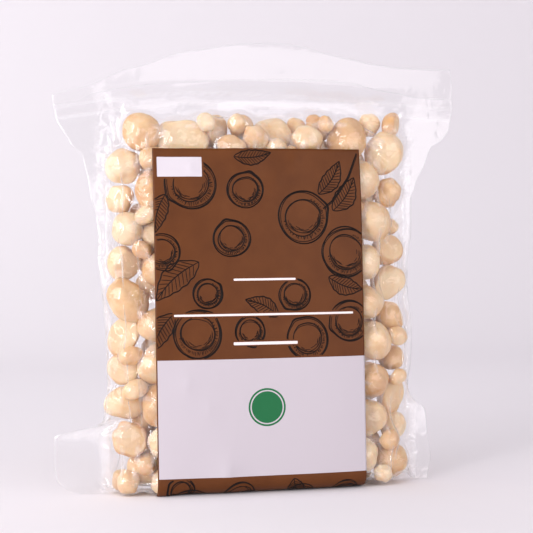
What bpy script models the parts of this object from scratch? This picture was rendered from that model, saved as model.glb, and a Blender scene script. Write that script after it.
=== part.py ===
"""Clear vacuum pouch of shelled macadamia kernels, standing on its folded bottom edge.

Two webs of clear film are welded along the sides, bottom and top. They close round two layers of
kernels, and a paper label runs from the front, under the base and up the back.
+Z is up, the front faces -Y, and the origin is under the middle of the pack. The shape is worked out
upright, and every mesh is then leaned back a little.
"""
import math
import random

import bmesh
import bpy
from mathutils import Euler, Matrix, Vector

MM = 0.001

# Driving dimensions, in millimetres
POUCH_WIDTH = 200.0
WAIST_WIDTH = 178.0
BACK_LIP_HEIGHT = 216.0
FRONT_LIP_HEIGHT = 199.0
FILL_WIDTH = 156.0
FILL_HEIGHT = 192.0
FILL_HALF_DEPTH = 17.0
KERNELS_TOP = 181.0
FULLEST_HEIGHT = 35.0
FILL_SIDE_MARGIN = 4.0
BASE_CORNER_RADIUS = 7.0
SHARP_CORNER_RADIUS = 0.6
EAR_HALF_DEPTH = 1.0
LEAN_BACK = 0.045
LEAN_CENTRE = 2.4

FILM_WALL = 0.4
LABEL_WALL = 0.25
WELD_GAP = 0.3
LABEL_GAP = 0.5

LABEL_WIDTH = 101.0
LABEL_CENTRE_X = -2.5
LABEL_TOP = 163.5
LABEL_BACK_TOP = 62.0

# How finely the sheets are divided. The shares place the columns of half of a web, from its edge
# to its middle; the base corner is turned in equal steps.
FILM_SHARES = (1.0, 0.93, 0.85, 0.78, 0.7, 0.6, 0.5, 0.38, 0.25, 0.12)
FILM_ROWS = 13
LABEL_COLUMNS = 8
LABEL_ROWS = 10
LABEL_BACK_ROWS = 5
CORNER_STEPS = 4

KERNEL_GAP = 0.4
BUNCH_OVERLAP = 3.4
INNER_RADII = (8.0, 8.8)
INNER_ROWS = 10
INNER_IN_ROW = 5
INNER_IN_TOP_ROW = 4
INNER_PITCH_X = 17.4
INNER_PITCH_Z = 15.3
INNER_LOWEST_Z = 11.0
INNER_ROW_SHIFT = 0.25
INNER_SCATTER = 1.0
LAYER_Y = 7.6

# How the kernels settle. A kernel's surface at 45 degrees lies SLANT of its radius out and up.
RIM_EASE = 0.3
SLANT = 0.71
PAIR_REACH = 1.7
SETTLE_ROUNDS = 8
SETTLE_STEPS = 40
TRIM_STEPS = 60
TRIM_SHARE = 0.6
SEED = 31

# A kernel's shape, as shares of its radius: its blunt point, its flattest width, and where the half
# is cut.
KERNEL_TIP = 0.03
KERNEL_SLIMMEST = 0.95
HALF_CUT = 0.1

# Kernels that show round the label: x, depth, height and radius, in millimetres.
# The depth is -Y to the front.
TOP_KERNELS = (
    (-59.4, -1.0, 166.5, 8.6), (-36.8, -1.5, 170.5, 9.2), (-18.2, -2.5, 167.5, 7.4),
    (-8.0, 4.0, 175.0, 5.4), (4.0, -1.5, 168.5, 8.8), (21.8, -2.5, 169.5, 7.4),
    (32.4, 3.8, 175.0, 5.4), (43.5, -1.5, 167.5, 8.8), (63.8, 0.0, 162.5, 8.4),
)
RIGHT_KERNELS = (
    (53.5, -4.5, 145.5, 8.8), (66.3, 3.5, 140.0, 6.6), (56.0, -4.0, 126.6, 9.0),
    (53.5, -5.0, 108.3, 8.4), (64.3, 5.0, 113.6, 7.2), (53.5, -5.0, 89.6, 8.4),
    (64.8, 3.0, 94.5, 7.6), (54.5, -5.0, 71.2, 8.6), (65.8, 4.0, 77.2, 7.2),
    (66.6, 4.0, 60.5, 6.2), (55.5, -5.0, 53.3, 8.2), (65.3, 4.5, 44.4, 6.8),
    (55.4, -4.5, 35.0, 8.4), (66.4, 3.0, 28.0, 6.6), (53.0, -5.0, 17.6, 8.0),
    (64.3, 2.0, 11.4, 8.4),
)
LEFT_KERNELS = (
    (-64.0, 1.0, 149.0, 8.0), (-54.5, -5.0, 140.0, 8.0), (-64.8, 5.0, 134.0, 6.6),
    (-50.0, -2.0, 126.0, 8.0), (-61.5, -3.0, 120.0, 7.4), (-64.0, 4.0, 106.5, 8.0),
    (-52.5, -5.0, 104.5, 8.0), (-60.5, -1.0, 90.5, 8.8), (-55.5, -5.0, 75.0, 8.2),
    (-64.8, 4.0, 73.0, 7.0), (-52.5, -5.5, 58.5, 8.2), (-64.8, 2.0, 56.0, 7.2),
    (-53.8, -4.5, 40.0, 9.2), (-65.0, 5.0, 40.5, 7.2), (-63.0, -1.0, 25.0, 8.2),
    (-49.5, -4.0, 22.5, 8.0), (-59.0, 1.0, 9.9, 8.2),
)
HALF_KERNEL = "kernel_top_2"


# --- The shape of the pouch -------------------------------------------------------------------


def base_inside():
    """Height of the film's inner face over the surface that the pack stands on."""
    return LABEL_WALL + LABEL_GAP + FILM_WALL


def half_width(z):
    """Half of the pouch's outline: widest at the bottom and top corners, drawn in between them."""
    waist = WAIST_WIDTH / 2
    height = abs(2 * z / BACK_LIP_HEIGHT - 1)
    return waist + (POUCH_WIDTH / 2 - waist) * height ** 3


def half_depth(x, z):
    """Half of the fill's depth at a point of the front: a crowned pad that closes at FILL_HEIGHT."""
    side = min(1.0, abs(x) / (FILL_WIDTH / 2))
    rise = max(0.0, z - FULLEST_HEIGHT) / (FILL_HEIGHT - FULLEST_HEIGHT)
    top = math.sqrt(max(0.0, 1 - min(1.0, rise) ** 5))
    depth = FILL_HALF_DEPTH * top * math.sqrt(1 - side ** 3)
    ear = EAR_HALF_DEPTH * max(0.0, 1 - z / FILL_HEIGHT)
    return max(depth, ear)


def web_section(x_at, top, offset, rows):
    """Points of one web's section, from its lip down to the weld under the base, for one column.

    x_at gives the column's x at a height. The depth y is positive here: the caller turns it to the
    front or the back. offset moves the section out from the film's inner face.
    """
    base = base_inside()
    foot = half_depth(x_at(0.0), 0.0)
    radius = SHARP_CORNER_RADIUS
    radius += (BASE_CORNER_RADIUS - SHARP_CORNER_RADIUS) * min(1.0, foot / FILL_HALF_DEPTH)
    corner_z = base + radius
    points = []
    for row in range(rows):
        z = top + (corner_z - top) * row / (rows - 1)
        points.append((x_at(z), WELD_GAP / 2 + half_depth(x_at(z), z) + offset, z))
    foot_y = points[-1][1] - offset
    for step in range(1, CORNER_STEPS + 1):
        turn = math.radians(90 * step / CORNER_STEPS)
        reach = radius + offset
        y = foot_y - radius + reach * math.cos(turn)
        z = corner_z - reach * math.sin(turn)
        points.append((x_at(0.0), y, z))
    points.append((x_at(0.0), WELD_GAP / 2, base - offset))
    return points


def film_columns(front):
    """The columns of one web: each is a section that runs down a constant share of the width."""
    side = -1 if front else 1
    top = FRONT_LIP_HEIGHT if front else BACK_LIP_HEIGHT
    shares = [-share for share in FILM_SHARES] + [0.0] + list(reversed(FILM_SHARES))
    columns = []
    for share in shares:
        section = web_section(lambda z, s=share: s * half_width(z), top, 0.0, FILM_ROWS)
        columns.append([Vector((x, side * y, z)) for x, y, z in section])
    return columns


def label_columns():
    """The label's columns: down the front, under the base and up the back, in one run."""
    columns = []
    offset = FILM_WALL + LABEL_GAP
    for column in range(LABEL_COLUMNS):
        x = LABEL_CENTRE_X + LABEL_WIDTH * (column / (LABEL_COLUMNS - 1) - 0.5)
        front = web_section(lambda z: x, LABEL_TOP, offset, LABEL_ROWS)[:-1]
        back = web_section(lambda z: x, LABEL_BACK_TOP, offset, LABEL_BACK_ROWS)[:-1]
        run = [Vector((px, -py, pz)) for px, py, pz in front]
        run += [Vector((px, py, pz)) for px, py, pz in reversed(back)]
        columns.append(run)
    return columns


# --- Kernels ----------------------------------------------------------------------------------


def rim_kernels():
    """The kernels round the label, in the order of their lists."""
    kernels = []
    for side, table in (("top", TOP_KERNELS), ("right", RIGHT_KERNELS), ("left", LEFT_KERNELS)):
        for number, (x, y, z, radius) in enumerate(table, 1):
            name = f"kernel_{side}_{number}"
            kernels.append({"node": name, "at": [x, y, z], "radius": radius, "ease": RIM_EASE})
    return kernels


def inner_kernels(draw):
    """Two layers of staggered rows behind the label. Two rows of one layer make a bunch."""
    kernels = []
    for layer, side in (("front", -1), ("back", 1)):
        for row in range(INNER_ROWS):
            shift = INNER_ROW_SHIFT if (row % 2 == 1) == (side < 0) else -INNER_ROW_SHIFT
            in_row = INNER_IN_ROW if row < INNER_ROWS - 1 else INNER_IN_TOP_ROW
            columns = list(range(in_row))
            if row % 2 == 1:
                columns.reverse()
            z = INNER_LOWEST_Z + INNER_PITCH_Z * row
            for column in columns:
                x = INNER_PITCH_X * (column - (in_row - 1) / 2 + shift)
                nudge = [draw.uniform(-INNER_SCATTER, INNER_SCATTER) for _ in range(2)]
                at = [x + nudge[0], side * LAYER_Y, z + nudge[1]]
                node = f"kernels_{layer}_{row // 2 + 1}"
                radius = draw.uniform(*INNER_RADII)
                kernels.append({"node": node, "at": at, "radius": radius, "ease": 1.0})
    return kernels


def room_behind(x, z, radius):
    """How far from the middle plane a kernel's centre may lie without meeting the film."""
    room = half_depth(x, z) - radius
    near = SLANT * radius
    for dx, dz in ((near, 0), (-near, 0), (0, near), (0, -near)):
        room = min(room, half_depth(x + dx, z + dz) - near)
    return room + WELD_GAP / 2 - KERNEL_GAP


def keep_inside(kernel):
    """Move a kernel's centre back between the two webs."""
    x, y, z = kernel["at"]
    radius = kernel["radius"]
    reach = FILL_WIDTH / 2 - FILL_SIDE_MARGIN - radius
    x = max(-reach, min(reach, x))
    z = min(KERNELS_TOP - radius, max(base_inside() + KERNEL_GAP + radius, z))
    room = max(0.0, room_behind(x, z, radius))
    kernel["at"] = [x, max(-room, min(room, y)), z]


def push_pair(first, second, target, both_ways):
    """Move two centres along their line until they are target apart; both_ways also pulls.

    ease shares the move out: the kernels of the rim give way less than the ones behind the label.
    """
    apart = [b - a for a, b in zip(first["at"], second["at"])]
    distance = math.sqrt(apart[0] ** 2 + apart[1] ** 2 + apart[2] ** 2)
    error = target - distance
    if error <= 0 and not both_ways:
        return
    share = error / max(distance, 0.01) / (first["ease"] + second["ease"])
    for axis in range(3):
        first["at"][axis] -= share * first["ease"] * apart[axis]
        second["at"][axis] += share * second["ease"] * apart[axis]


def neighbours(kernels):
    """Pairs that can meet, each with its wanted distance and whether the two are joined."""
    pairs = []
    for i, first in enumerate(kernels):
        for j in range(i + 1, len(kernels)):
            second = kernels[j]
            reach = first["radius"] + second["radius"]
            if math.dist(first["at"], second["at"]) > PAIR_REACH * reach:
                continue
            joined = j == i + 1 and first["node"] == second["node"]
            target = reach - BUNCH_OVERLAP if joined else reach + KERNEL_GAP
            pairs.append((first, second, target, joined))
    return pairs


def settle(kernels):
    """Push kernels apart and back into the pouch until they lie side by side."""
    for _ in range(SETTLE_ROUNDS):
        pairs = neighbours(kernels)
        for _ in range(SETTLE_STEPS):
            for first, second, target, joined in pairs:
                push_pair(first, second, target, joined)
            for kernel in kernels:
                keep_inside(kernel)


def trim(kernels):
    """Shrink the kernels of different nodes that still meet, and those that press on the film.

    A rim kernel shrinks more than one of a bunch, which has to keep touching its own neighbours.
    """
    for _ in range(TRIM_STEPS):
        for i, first in enumerate(kernels):
            for second in kernels[i + 1:]:
                reach = first["radius"] + second["radius"] + KERNEL_GAP
                excess = reach - math.dist(first["at"], second["at"])
                if excess > 0 and first["node"] != second["node"]:
                    share = TRIM_SHARE * excess / (second["ease"] + first["ease"])
                    first["radius"] -= share * second["ease"]
                    second["radius"] -= share * first["ease"]
        for kernel in kernels:
            x, y, z = kernel["at"]
            tight = abs(y) - room_behind(x, z, kernel["radius"])
            if tight > 0:
                kernel["radius"] -= 0.5 * tight


def kernel_mesh(name, kernel, draw):
    """A nearly round kernel with a blunt point, turned at random; a half is cut through its middle."""
    shape = bmesh.new()
    bmesh.ops.create_icosphere(shape, subdivisions=2, radius=1.0)
    for vertex in shape.verts:
        point = max(0.0, vertex.co.z) ** 6
        vertex.co *= 1 - KERNEL_TIP + KERNEL_TIP * point
    turn = Euler([draw.uniform(0, math.tau) for _ in range(3)]).to_matrix().to_4x4()
    stretch = Matrix.Diagonal((1.0, draw.uniform(KERNEL_SLIMMEST, 1.0), draw.uniform(KERNEL_SLIMMEST, 1.0), 1.0))
    size = Matrix.Scale(kernel["radius"] * MM, 4)
    place = Matrix.Translation(Vector(kernel["at"]) * MM)
    bmesh.ops.transform(shape, matrix=place @ turn @ stretch @ size, verts=shape.verts)
    if name == HALF_KERNEL:
        face_at = Vector(kernel["at"]) * MM + Vector((0, -HALF_CUT * kernel["radius"] * MM, 0))
        geometry = shape.verts[:] + shape.edges[:] + shape.faces[:]
        cut = bmesh.ops.bisect_plane(
            shape, geom=geometry, plane_co=face_at, plane_no=(0, -1, 0.1), clear_outer=True
        )
        rim = [item for item in cut["geom_cut"] if isinstance(item, bmesh.types.BMEdge)]
        bmesh.ops.contextual_create(shape, geom=rim)
    bmesh.ops.recalc_face_normals(shape, faces=shape.faces)
    mesh = bpy.data.meshes.new(name)
    shape.to_mesh(mesh)
    shape.free()
    mesh.shade_smooth()
    return mesh


# --- Objects ----------------------------------------------------------------------------------


def clear_scene():
    """Remove every object, so that the script gives the same model in any file."""
    for item in list(bpy.data.objects):
        bpy.data.objects.remove(item, do_unlink=True)


def material(name, colour, roughness, alpha=1.0):
    """A Principled material; colour is linear red, green and blue."""
    made = bpy.data.materials.new(name)
    made.use_nodes = True
    shader = made.node_tree.nodes["Principled BSDF"]
    shader.inputs["Base Color"].default_value = (*colour, 1.0)
    shader.inputs["Roughness"].default_value = roughness
    shader.inputs["Metallic"].default_value = 0.0
    shader.inputs["Alpha"].default_value = alpha
    return made


def lean_back():
    """The shear that leans the whole pack back a little, and centres it over the origin."""
    shear = Matrix.Identity(4)
    shear[1][2] = LEAN_BACK
    shear[1][3] = -LEAN_CENTRE * MM
    return shear


def add_object(name, mesh, finish):
    """Lean a mesh back with the pack, and link it into the scene under its node's name."""
    mesh.transform(lean_back())
    mesh.materials.append(finish)
    made = bpy.data.objects.new(name, mesh)
    bpy.context.scene.collection.objects.link(made)
    return made


def sheet(name, columns, wall, finish, outward):
    """A closed sheet: a grid of points in columns, thickened by wall to its outer side.

    outward says which way the grid's own normals point, so the wall always grows away from the fill.
    """
    rows = len(columns[0])
    points = [point * MM for column in columns for point in column]
    faces = []
    for c in range(len(columns) - 1):
        for r in range(rows - 1):
            corner = c * rows + r
            face = (corner, corner + 1, corner + rows + 1, corner + rows)
            faces.append(face if outward else face[::-1])
    mesh = bpy.data.meshes.new(name)
    mesh.from_pydata(points, [], faces)
    made = add_object(name, mesh, finish)
    thicken = made.modifiers.new("Wall", "SOLIDIFY")
    thicken.thickness = wall * MM
    thicken.offset = 1.0
    return made


def add_films():
    """The two webs of the pouch."""
    for name, front in (("film_front", True), ("film_back", False)):
        finish = material(name, (0.9, 0.92, 0.94), 0.08, 0.25)
        sheet(name, film_columns(front), FILM_WALL, finish, front)


def add_label():
    """The paper label, folded round the base."""
    finish = material("label", (0.2, 0.09, 0.04), 0.5)
    sheet("label", label_columns(), LABEL_WALL, finish, True)


def add_bunch(name, members, draw):
    """Kernels that lie against each other, joined into one solid where they touch."""
    finish = material(name, (0.78, 0.58, 0.3), 0.4)
    others = bpy.data.collections.new(name + "_members")
    bpy.context.scene.collection.children.link(others)
    first = add_object(name, kernel_mesh(name, members[0], draw), finish)
    for number, member in enumerate(members[1:], 1):
        mesh = kernel_mesh(f"{name}_{number}", member, draw)
        mesh.transform(lean_back())
        cutter = bpy.data.objects.new(mesh.name, mesh)
        cutter.hide_render = True
        cutter.display_type = "WIRE"
        others.objects.link(cutter)
    union = first.modifiers.new("Join", "BOOLEAN")
    union.operation = "UNION"
    union.solver = "EXACT"
    union.operand_type = "COLLECTION"
    union.collection = others


def add_kernels():
    """Every kernel, settled first and then made as single nodes or bunches."""
    draw = random.Random(SEED)
    kernels = rim_kernels() + inner_kernels(draw)
    settle(kernels)
    trim(kernels)
    bunches = {}
    for kernel in kernels:
        bunches.setdefault(kernel["node"], []).append(kernel)
    for name, members in bunches.items():
        if len(members) > 1:
            add_bunch(name, members, draw)
            continue
        finish = material(name, (0.78, 0.58, 0.3), 0.4)
        add_object(name, kernel_mesh(name, members[0], draw), finish)


def main():
    clear_scene()
    add_films()
    add_label()
    add_kernels()


main()
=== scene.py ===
# %% [markdown]
# # A vacuum pack of macadamia kernels
# Clear film drawn down over loose round kernels is three problems in one: a packing of nearly round
# bodies, a thin sheet that is pulled in between them until it creases, and a stiff paper label that
# bridges the dips. Each is worked out with numpy on plain arrays and then handed to Blender.
# Every length in this script is in millimetres until a mesh is made.

import bpy
import numpy as np
from mathutils import Matrix, Vector


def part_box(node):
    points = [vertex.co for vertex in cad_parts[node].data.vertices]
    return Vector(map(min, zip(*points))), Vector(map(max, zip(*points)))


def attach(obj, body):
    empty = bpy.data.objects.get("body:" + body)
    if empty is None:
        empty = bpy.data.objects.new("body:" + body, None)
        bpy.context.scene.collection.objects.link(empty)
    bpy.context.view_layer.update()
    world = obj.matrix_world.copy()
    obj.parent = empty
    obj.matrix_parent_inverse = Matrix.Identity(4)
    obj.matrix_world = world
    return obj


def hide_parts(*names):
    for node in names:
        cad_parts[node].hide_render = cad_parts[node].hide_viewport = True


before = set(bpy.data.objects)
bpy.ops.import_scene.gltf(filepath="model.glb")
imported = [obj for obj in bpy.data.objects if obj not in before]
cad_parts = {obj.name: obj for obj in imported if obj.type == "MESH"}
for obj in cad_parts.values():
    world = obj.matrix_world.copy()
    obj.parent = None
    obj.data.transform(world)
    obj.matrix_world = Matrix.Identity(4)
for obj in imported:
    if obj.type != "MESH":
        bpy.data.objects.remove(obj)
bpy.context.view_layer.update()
MM = 0.001


# %% Small helpers
def linear(hex_colour):
    """sRGB hex text to linear red, green, blue and alpha: ((c + 0.055) / 1.055) ** 2.4, or c / 12.92."""
    values = [int(hex_colour[i:i + 2], 16) / 255 for i in (1, 3, 5)]
    return tuple(v / 12.92 if v < 0.04045 else ((v + 0.055) / 1.055) ** 2.4 for v in values) + (1.0,)


def add_node(tree, kind, inputs=None, **settings):
    """Add one shader node. inputs gives a socket a value, or the output socket that feeds it."""
    node = tree.nodes.new(kind)
    for name, value in settings.items():
        setattr(node, name, value)
    for key, value in (inputs or {}).items():
        if isinstance(value, bpy.types.NodeSocket):
            tree.links.new(value, node.inputs[key])
        else:
            node.inputs[key].default_value = value
    return node


def new_material(name):
    """An empty node material and its tree, with the output node in place."""
    made = bpy.data.materials.new(name)
    made.use_nodes = True
    tree = made.node_tree
    tree.nodes.clear()
    return made, tree, tree.nodes.new("ShaderNodeOutputMaterial")


def mesh_from_arrays(name, points, faces, smooth=True):
    """A mesh object at the origin from points in millimetres and faces, all of one corner count."""
    mesh = bpy.data.meshes.new(name)
    points = np.asarray(points, np.float64).reshape(-1, 3) * MM
    faces = np.asarray(faces, np.int32)
    corners = faces.shape[1]
    mesh.vertices.add(len(points))
    mesh.vertices.foreach_set("co", points.ravel())
    mesh.loops.add(faces.size)
    mesh.loops.foreach_set("vertex_index", faces.ravel())
    mesh.polygons.add(len(faces))
    mesh.polygons.foreach_set("loop_start", np.arange(0, faces.size, corners, dtype=np.int32))
    mesh.update(calc_edges=True)
    mesh.validate()
    if smooth:
        mesh.shade_smooth()
    made = bpy.data.objects.new(name, mesh)
    bpy.context.scene.collection.objects.link(made)
    return made


def grid_faces(rows, columns):
    """Quads of a rows by columns grid whose points are numbered row by row."""
    index = np.arange(rows * columns).reshape(rows, columns)
    corners = (index[:-1, :-1], index[:-1, 1:], index[1:, 1:], index[1:, :-1])
    return np.stack([corner.ravel() for corner in corners], axis=1)


def neighbour_mean(grid):
    """The mean of the four neighbours of every inner point of a grid."""
    return (grid[:-2, 1:-1] + grid[2:, 1:-1] + grid[1:-1, :-2] + grid[1:-1, 2:]) / 4


def point_attribute(piece, name, values):
    """Store one number for each vertex of a piece, for a material to read."""
    layer = piece.data.attributes.new(name, "FLOAT", "POINT")
    layer.data.foreach_set("value", np.asarray(values, np.float32).ravel())


def smooth_curve(along, knots, values):
    """Read a value along a chain of design points.

    Between two of them the value goes half by a straight line and half by a cosine ease.
    """
    knots = np.asarray(knots, float)
    values = np.asarray(values, float)
    i = np.clip(np.searchsorted(knots, along) - 1, 0, len(knots) - 2)
    share = np.clip((along - knots[i]) / (knots[i + 1] - knots[i]), 0, 1)
    share = 0.5 * share + 0.5 * (0.5 - 0.5 * np.cos(np.pi * share))
    return values[i] + share * (values[i + 1] - values[i])


# %% [markdown]
# ## The camera
# The pack is seen from a little to its left, from just above its middle height. A long lens from 0.7 m
# away keeps the label's sides almost parallel, where a short one would make the pack bulge.

# %% Camera
CAMERA_AT = (-157.6, -708.3, 123.4)
CAMERA_TURN, CAMERA_DROP, CAMERA_ROLL = np.radians([12.8, 1.3, -0.43])
LENS_TO_SENSOR = 2.81426
SENSOR = 36.0

camera_data = bpy.data.cameras.new("camera")
camera_data.sensor_width = SENSOR
camera_data.lens = LENS_TO_SENSOR * SENSOR
camera_data.clip_start = 0.05
camera_data.clip_end = 20.0
camera = bpy.data.objects.new("camera", camera_data)
bpy.context.scene.collection.objects.link(camera)
aim = Vector((
    np.sin(CAMERA_TURN) * np.cos(CAMERA_DROP), np.cos(CAMERA_TURN) * np.cos(CAMERA_DROP), -np.sin(CAMERA_DROP)
))
upright = aim.to_track_quat("-Z", "Y").to_matrix().to_4x4()
rolled = Matrix.Rotation(CAMERA_ROLL, 4, "Z")
camera.matrix_world = Matrix.Translation(Vector(CAMERA_AT) * MM) @ upright @ rolled
bpy.context.scene.camera = camera
print("camera field of view", round(np.degrees(camera_data.angle), 1), "degrees")

# %% [markdown]
# ## The shape that the fill takes
# The fill is a crowned pad, deepest near the bottom, that leans back a little. Its half depth at a
# place on the front is a product of two round profiles, one across and one up.

# %% The fill's shape
LEAN_BACK, LEAN_CENTRE = 0.045, 2.4
FILL_HALF_WIDTH, FILL_TOP, FILL_HALF_DEPTH, FULLEST_AT = 78.0, 192.0, 17.0, 35.0
BASE_CORNER = 7.0


def middle(z):
    """Depth of the pack's middle plane at height z: it leans back as it rises."""
    return LEAN_BACK * z - LEAN_CENTRE


def half_depth(x, z, half_width=FILL_HALF_WIDTH):
    """Half of the fill's depth: D * sqrt(1 - |x / W| ** 3) * sqrt(1 - rise ** 5)."""
    side = np.clip(np.abs(x) / half_width, 0, 1)
    rise = np.clip((z - FULLEST_AT) / (FILL_TOP - FULLEST_AT), 0, 1)
    return FILL_HALF_DEPTH * np.sqrt(1 - side ** 3) * np.sqrt(1 - rise ** 5)


# %% [markdown]
# ## Where the kernels lie
# About 140 kernels lie in two loose layers. Those round the label start at their frame nodes. The
# others start on staggered rows behind the label. All of them are then pushed apart and back between
# the two webs, over and over, which is how a vibrated tray settles too. A physics solver could drop
# them into a bag instead, but then the ones in sight wouldn't stay near their nodes.

# %% Kernel places
RIM_NODES = [name for name in sorted(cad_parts) if name.startswith("kernel_")]
BUNCH_NODES = [name for name in sorted(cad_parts) if name.startswith("kernels_")]
INNER_ROWS, INNER_IN_ROW, INNER_IN_TOP_ROW = 10, 5, 4
INNER_PITCH_X, INNER_PITCH_Z, INNER_LOWEST, LAYER_DEPTH = 17.4, 15.3, 11.0, 7.6
RIM_SWELL, RIM_EASE = 1.2, 0.3
INNER_SCATTER, INNER_LEAST, INNER_MOST = 1.6, 7.7, 9.3
SETTLE_STEPS, SIDE_CLEAR, KERNELS_BOTTOM, KERNELS_TOP = 500, 4.0, 1.6, 181.0
SPOT_STEP, PIECES_SIDE, PIECE_PRESS = 2.0, 72, 1.17
LEAST_PIECE, MOST_PIECE = 3.7, 7.4
HALF_STRETCH, NUT_SHARE = 3.0, 0.93
dice = np.random.default_rng(20)


def rim_places():
    """Centre and radius of each rim kernel, from its frame node's box."""
    places, radii = [], []
    for name in RIM_NODES:
        low, high = (np.array(corner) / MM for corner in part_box(name))
        centre = (low + high) / 2
        places.append((centre[0], centre[1] - middle(centre[2]), centre[2]))
        radii.append(np.sort(high - low)[1] / 2 * RIM_SWELL)
    return np.array(places), np.array(radii)


def inner_places():
    """Staggered rows in two layers, with the name of the bunch that each kernel belongs to."""
    places, names = [], []
    for layer, side in (("front", -1), ("back", 1)):
        for row in range(INNER_ROWS):
            in_row = INNER_IN_ROW if row < INNER_ROWS - 1 else INNER_IN_TOP_ROW
            shift = 0.25 if (row % 2 == 1) == (side < 0) else -0.25
            across = INNER_PITCH_X * (np.arange(in_row) - (in_row - 1) / 2 + shift)
            for x in across:
                places.append((x, side * LAYER_DEPTH, INNER_LOWEST + INNER_PITCH_Z * row))
                names.append(f"kernels_{layer}_{row // 2 + 1}")
    return np.array(places), names


def room_behind(places, radii):
    """How far from the middle plane each centre may lie without pressing through the film."""
    x, z = places[:, 0], places[:, 2]
    room = half_depth(x, z) - radii
    near = 0.71 * radii  # a ball's depth at 45 degrees
    for dx, dz in ((near, 0), (-near, 0), (0, near), (0, -near)):
        room = np.minimum(room, half_depth(x + dx, z + dz) - near)
    return np.maximum(room, 0)


def settle(places, radii, ease, steps):
    """Push overlapping kernels apart along the line between their centres, then back inside.

    Each push is the overlap, shared by how easily the two give way, and summed over all neighbours.
    """
    for _ in range(steps):
        apart = places[:, None] - places[None]
        distance = np.linalg.norm(apart, axis=2) + np.eye(len(places)) * 1e3
        overlap = np.maximum(radii[:, None] + radii[None] - distance, 0)
        share = ease[:, None] / (ease[:, None] + ease[None])
        places = places + 0.5 * (apart * (overlap * share / distance)[..., None]).sum(axis=1)
        reach = FILL_HALF_WIDTH - SIDE_CLEAR - radii
        places[:, 0] = np.clip(places[:, 0], -reach, reach)
        places[:, 2] = np.clip(places[:, 2], KERNELS_BOTTOM + radii, KERNELS_TOP - radii)
        room = room_behind(places, radii)
        places[:, 1] = np.clip(places[:, 1], -room, room)
    return places


def broken_pieces(places, radii):
    """Broken pieces in the gaps: the roomiest spot of a fine grid gets one, again and again.

    The room at a spot is its distance to the nearest surface. Each piece may press into its
    neighbours by a sixth, as flat faces do.
    """
    axes = [np.arange(low, high, SPOT_STEP) for low, high in ((-68, 69), (-13, 14), (6, 178))]
    spots = np.stack(np.meshgrid(*axes, indexing="ij"), axis=-1).reshape(-1, 3)
    room = half_depth(spots[:, 0], spots[:, 2]) - np.abs(spots[:, 1])
    room = np.minimum(room, PIECES_SIDE - np.abs(spots[:, 0]))
    for place, radius in zip(places, radii):
        room = np.minimum(room, np.linalg.norm(spots - place, axis=1) - radius)
    found, sizes = [], []
    while room.max() > LEAST_PIECE:
        best = room.argmax()
        size = min(room[best] * PIECE_PRESS, MOST_PIECE)
        found.append(spots[best])
        sizes.append(size)
        room = np.minimum(room, np.linalg.norm(spots - spots[best], axis=1) - size)
    found = np.array(found)
    bunch = (found[:, 2] - INNER_LOWEST + INNER_PITCH_Z / 2) // (2 * INNER_PITCH_Z)
    bunch = np.clip(bunch, 0, INNER_ROWS // 2 - 1).astype(int)
    names = [f"kernels_{'front' if y < 0 else 'back'}_{n + 1}" for y, n in zip(found[:, 1], bunch)]
    return found, np.array(sizes), names


def long_axes(count):
    """A direction for each kernel, mostly upright in the pack's plane, and how far it is drawn out."""
    way = dice.normal(size=(count, 3)) * np.array([0.7, 0.25, 1.0])
    stretch = np.maximum(dice.uniform(-1.6, 3.4, count), 0)
    half = kernel_names.index("kernel_top_2")
    way[half], stretch[half] = (1.0, 0.0, -0.1), HALF_STRETCH
    return way / np.linalg.norm(way, axis=1, keepdims=True), stretch


rim_at, rim_radius = rim_places()
inner_at, inner_names = inner_places()
inner_at = inner_at + dice.uniform(-INNER_SCATTER, INNER_SCATTER, inner_at.shape)
kernel_names = RIM_NODES + inner_names
kernel_radius = np.concatenate([rim_radius, dice.uniform(INNER_LEAST, INNER_MOST, len(inner_at))])
kernel_ease = np.concatenate([np.full(len(rim_at), RIM_EASE), np.ones(len(inner_at))])
kernel_at = settle(np.concatenate([rim_at, inner_at]), kernel_radius, kernel_ease, SETTLE_STEPS)
piece_at, piece_radius, piece_names = broken_pieces(kernel_at, kernel_radius)
kernel_at = np.concatenate([kernel_at, piece_at])
kernel_radius = np.concatenate([kernel_radius, piece_radius])
kernel_names += piece_names
kernel_at[:, 1] += middle(kernel_at[:, 2])
kernel_way, kernel_stretch = long_axes(len(kernel_at))
kernel_drawn = kernel_way * kernel_stretch[:, None]
post_at = np.concatenate([kernel_at - kernel_drawn, kernel_at + kernel_drawn])
post_radius = np.tile(kernel_radius, 2)
volume = (4 / 3 * np.pi * kernel_radius ** 3).sum() / 1000
print(len(kernel_at), "kernels, about", round(volume * NUT_SHARE), "cm3 of nut")

# %% [markdown]
# ## The clear film
# The pouch is two flat webs, welded at the sides, the bottom and the top. Drawing the air out pulls
# them in over the kernels. Film hardly stretches, so it can't follow a round kernel all over: it
# bridges, dips between kernels and folds the spare width into creases. A cloth solver would do this,
# but a small relaxation on a grid is quicker and steadier. Each pass presses the web inwards, restores
# the lengths between neighbouring points, and lifts points out of the kernels. It runs on a coarse
# grid first, then on one twice as fine, then again, so that broad folds form before sharp ones.

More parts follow.
